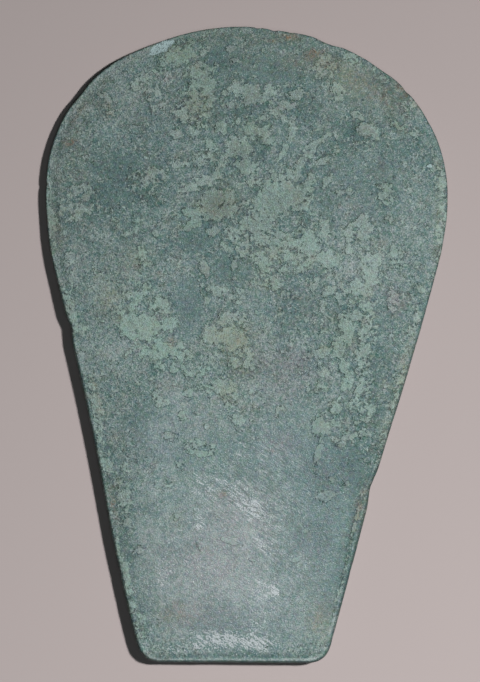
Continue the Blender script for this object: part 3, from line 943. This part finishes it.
def make_patinated_bronze(look):
    """Cast and hammered tin bronze under a burial patina: a smooth grey-green skin that takes a low
    gloss, under broken islands of dull, granular, pale green crust."""
    material = bpy.data.materials.new("cast_bronze_burial_patina")
    material.use_nodes = True
    tree = material.node_tree
    tree.nodes.clear()

    def add(kind, label, inputs=None, out=0, **settings):
        return add_node(tree, kind, label, inputs, out, **settings)

    patina = read_patina(add)
    grain = make_grains(add, look, patina["scored"])
    cover, line, step = make_crust(add, patina, grain)
    skin = make_skin(add, look, patina, grain, cover, line)
    colour = crust_over(add, look, patina, skin, cover)
    colour, speckle = stains_over(add, look, patina, grain, colour)
    colour = salts_over(add, look, patina, grain, colour)

    # Dull crust, low gloss on the smooth skin.
    roughness = add("MapRange", "roughness of the skin", {
        "Value": patina["smooth"], "To Min": 0.62, "To Max": 0.34})
    roughness = add("Mix", "roughness with crust", {0: cover, 2: roughness, 3: 0.72},
                    data_type="FLOAT")
    roughness = add("Math", "roughness with grains", {
        0: grain["grains"], 1: -0.25, 2: roughness}, **PLUS, **CLAMPED)

    # Relief too fine for the mesh: the grains, the scratches, the specks and the crust's edge.
    grain_relief = add("MapRange", "grain relief", {
        "Value": patina["smooth"], "To Min": 0.7, "To Max": 0.28})
    height = add("Math", "height of the grains", {0: grain["grains"], 1: grain_relief}, **TIMES)
    for label, part, share in (
            ("scratches", grain["scored"], 0.35), ("specks", speckle, 0.12), ("crust", step, 0.85)):
        height = add("Math", "height with " + label, {0: part, 1: share, 2: height}, **PLUS)
    bumped = add("Bump", "fine relief", {"Strength": 0.85, "Distance": 0.0006, "Height": height})
    shader = add("BsdfPrincipled", "patina", {
        "Base Color": colour, "Roughness": roughness, "Metallic": 0.0,
        "Specular IOR Level": 0.4, "Normal": bumped})
    output = tree.nodes.new("ShaderNodeOutputMaterial")
    tree.links.new(shader, output.inputs["Surface"])
    return material


def make_floor_card(colour):
    """Painted matte board: no gloss, one even colour."""
    material = bpy.data.materials.new("painted_matte_board")
    material.use_nodes = True
    shader = material.node_tree.nodes["Principled BSDF"]
    shader.inputs["Base Color"].default_value = (*colour, 1)
    shader.inputs["Roughness"].default_value = 0.95
    shader.inputs["Specular IOR Level"].default_value = 0.1
    return material


class AXE_OT_build_head(bpy.types.Operator):
    """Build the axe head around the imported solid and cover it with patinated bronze"""
    bl_idname = "axe.build_head"
    bl_label = "Build axe head"

    def execute(self, context):
        form = context.scene.axe_form
        positions, triangles, patina = make_axe_mesh(form)
        axe = new_mesh_object("bronze_axe_head", positions, triangles)
        if len(axe.data.polygons) != len(triangles):
            raise RuntimeError("the axe head's mesh has faces that fold onto each other")
        store_patina(axe.data, patina)
        axe.data.materials.append(make_patinated_bronze(context.scene.axe_patina))
        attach(axe, "root")
        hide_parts(AXE_NODE)
        print("axe head:", len(positions), "points", len(triangles), "triangles")
        return {"FINISHED"}


# ---- Stage, in metres -------------------------------------------------------------------------

FLOOR_REACH = 4.0  # from the middle to each side
KEY_DISTANCE, KEY_SIZE, KEY_SPREAD = 1.6, 0.14, math.radians(76)
KEY_TARGET = (0.05, -0.45, 0)
FILL_PLACE, FILL_SIZE = (0.018, -0.15, 1.22), 0.3  # beside the camera, facing the origin
KEY_COLOUR, FILL_COLOUR, SKY_COLOUR = "#ffffff", "#f6f8ff", "#98d6cb"
CAMERA_X, CAMERA_Y = -0.00207, 0.00118  # the point of the floor that it looks straight down on
SENSOR_WIDTH = 36  # millimetres
CLIP = (0.01, 20)


class StageSettings(bpy.types.PropertyGroup):
    """Floor, lights and camera."""
    floor_colour: colour_setting("Floor", "Plain matte floor", "#b8acaa")
    camera_height: bpy.props.FloatProperty(
        name="Camera height", description="Height of the camera above the floor",
        default=1.2, min=0.3, max=5, unit="LENGTH")
    view_height: bpy.props.FloatProperty(
        name="View height", description="Length of the picture's tall side on the axe's face",
        default=0.2143, min=0.1, max=1, precision=4, unit="LENGTH")
    key_power: bpy.props.FloatProperty(
        name="Key power", description="Power of the key light", default=5.9, min=0, unit="POWER")
    key_elevation: bpy.props.FloatProperty(
        name="Key elevation", description="Height of the key light above the floor's plane",
        default=math.radians(61), min=0, max=math.pi / 2, unit="ROTATION", subtype="ANGLE")
    key_bearing: bpy.props.FloatProperty(
        name="Key bearing", description="Direction of the key light, counted from +X to +Y",
        default=math.radians(17), min=-math.pi, max=math.pi, unit="ROTATION", subtype="ANGLE")
    fill_power: bpy.props.FloatProperty(
        name="Fill power", description="Power of the soft light near the camera",
        default=0.9, min=0, unit="POWER")
    sky: bpy.props.FloatProperty(
        name="Ambient light", description="Strength of the even light from all sides",
        default=0.03, min=0)


def add_area_light(name, place, target, size, power, colour):
    """A round soft light at a place, turned to face its target."""
    light = bpy.data.lights.new(name, "AREA")
    light.shape = "DISK"
    light.size = size
    light.energy = power
    light.color = linear(colour)
    obj = bpy.data.objects.new(name, light)
    obj.location = place
    obj.rotation_euler = (Vector(target) - obj.location).to_track_quat("-Z", "Y").to_euler()
    bpy.context.scene.collection.objects.link(obj)
    return light


class AXE_OT_build_stage(bpy.types.Operator):
    """Lay the plain floor, set the studio lights and place the camera"""
    bl_idname = "axe.build_stage"
    bl_label = "Build stage"

    def execute(self, context):
        scene, stage = context.scene, context.scene.axe_stage
        corners = FLOOR_REACH * np.array([(-1, -1, 0), (1, -1, 0), (1, 1, 0), (-1, 1, 0)])
        floor = new_mesh_object("floor", corners, np.array([(0, 1, 2), (0, 2, 3)]))
        floor.data.materials.append(make_floor_card(stage.floor_colour))

        e, b = stage.key_elevation, stage.key_bearing
        reach = KEY_DISTANCE * math.cos(e)
        key_place = (reach * math.cos(b), reach * math.sin(b), KEY_DISTANCE * math.sin(e))
        key = add_area_light("key_light", key_place, KEY_TARGET, KEY_SIZE, stage.key_power,
                             KEY_COLOUR)
        key.spread = KEY_SPREAD
        add_area_light("fill_light", FILL_PLACE, (0, 0, 0), FILL_SIZE, stage.fill_power,
                       FILL_COLOUR)

        world = bpy.data.worlds.new("even_light")
        world.use_nodes = True
        background = world.node_tree.nodes["Background"]
        background.inputs["Color"].default_value = (*linear(SKY_COLOUR), 1)
        background.inputs["Strength"].default_value = stage.sky
        scene.world = world
        scene.view_settings.view_transform = "Standard"

        camera = bpy.data.cameras.new("camera")
        camera.sensor_width = SENSOR_WIDTH
        distance = stage.camera_height - THICKNESS / 2 * MM
        camera.lens = SENSOR_WIDTH * distance / stage.view_height
        camera.clip_start, camera.clip_end = CLIP
        obj = bpy.data.objects.new("camera", camera)
        obj.location = (CAMERA_X, CAMERA_Y, stage.camera_height)
        scene.collection.objects.link(obj)
        scene.camera = obj
        return {"FINISHED"}


# ---- Add-on -----------------------------------------------------------------------------------

class AXE_PT_panel(bpy.types.Panel):
    """Lists the axe head's settings and the steps that build it"""
    bl_idname = "AXE_PT_panel"
    bl_label = "Axe Head"
    bl_space_type = "VIEW_3D"
    bl_region_type = "UI"
    bl_category = "Axe Head"

    def draw(self, context):
        for title, group, operator in (
                ("Form", context.scene.axe_form, None),
                ("Patina", context.scene.axe_patina, AXE_OT_build_head),
                ("Stage", context.scene.axe_stage, AXE_OT_build_stage)):
            box = self.layout.box()
            box.label(text=title)
            for key in group.__annotations__:
                box.prop(group, key)
            if operator:
                box.operator(operator.bl_idname)


CLASSES = (AxeFormSettings, PatinaSettings, StageSettings, AXE_OT_build_head, AXE_OT_build_stage,
           AXE_PT_panel)
GROUPS = {"axe_form": AxeFormSettings, "axe_patina": PatinaSettings, "axe_stage": StageSettings}


def register():
    for cls in CLASSES:
        bpy.utils.register_class(cls)
    for name, group in GROUPS.items():
        setattr(bpy.types.Scene, name, bpy.props.PointerProperty(type=group))


def unregister():
    for name in GROUPS:
        delattr(bpy.types.Scene, name)
    for cls in reversed(CLASSES):
        bpy.utils.unregister_class(cls)


def main():
    register()
    bpy.ops.axe.build_head()
    bpy.ops.axe.build_stage()


if __name__ == "__main__":
    main()
